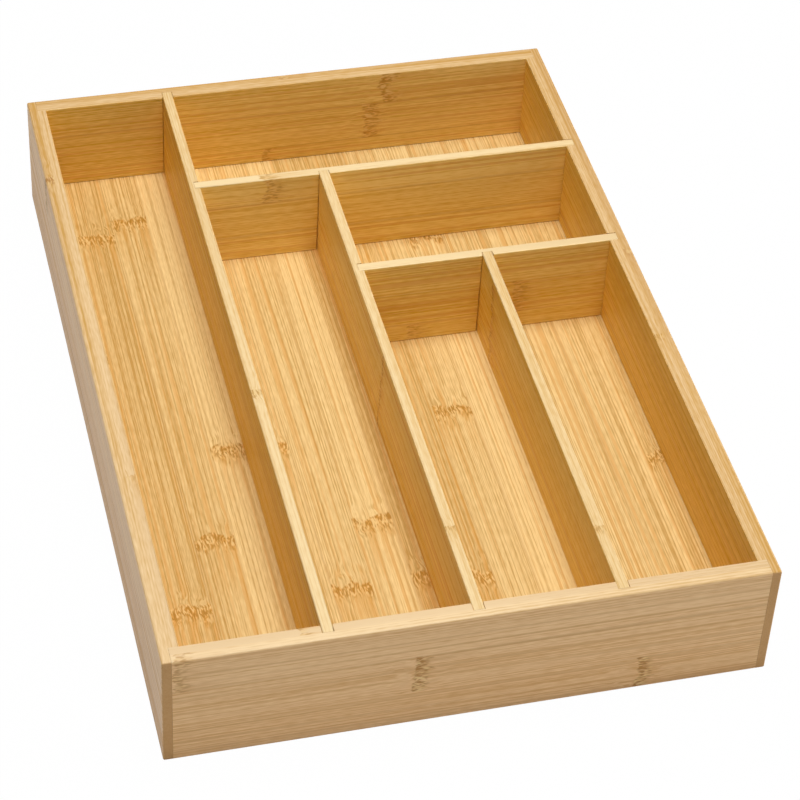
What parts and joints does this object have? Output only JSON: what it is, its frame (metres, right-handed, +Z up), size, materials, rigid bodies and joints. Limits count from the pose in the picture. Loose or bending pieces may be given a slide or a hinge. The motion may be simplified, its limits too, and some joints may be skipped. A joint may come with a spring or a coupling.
{
  "type": "cutlery tray",
  "caption": "Open rectangular bamboo drawer tray for cutlery, with low rebated walls, a grooved-in floor panel and thin housed dividers that part it into long, short and wide compartments.",
  "frame": {"origin": "middle of the tray's footprint, on the plane that it stands on", "axes": "+X to the right seen from the front, +Y from the front wall to the back wall, +Z up"},
  "size_m": [0.315, 0.456, 0.071],
  "materials": {
    "bamboo_wall": "sanded laminated bamboo, two plies thick, clear matt lacquer",
    "bamboo_floor": "sanded bamboo strips glued edge to edge, clear matt lacquer",
    "bamboo_divider": "sanded thin bamboo board, clear matt lacquer"
  },
  "bodies": {
    "root": {"front_wall": "bamboo_wall", "back_wall": "bamboo_wall", "left_wall": "bamboo_wall", "right_wall": "bamboo_wall", "floor_panel": "bamboo_floor", "long_divider": "bamboo_divider", "rear_cross_divider": "bamboo_divider", "centre_divider": "bamboo_divider", "front_cross_divider": "bamboo_divider", "short_divider": "bamboo_divider"}
  },
  "joints": []
}
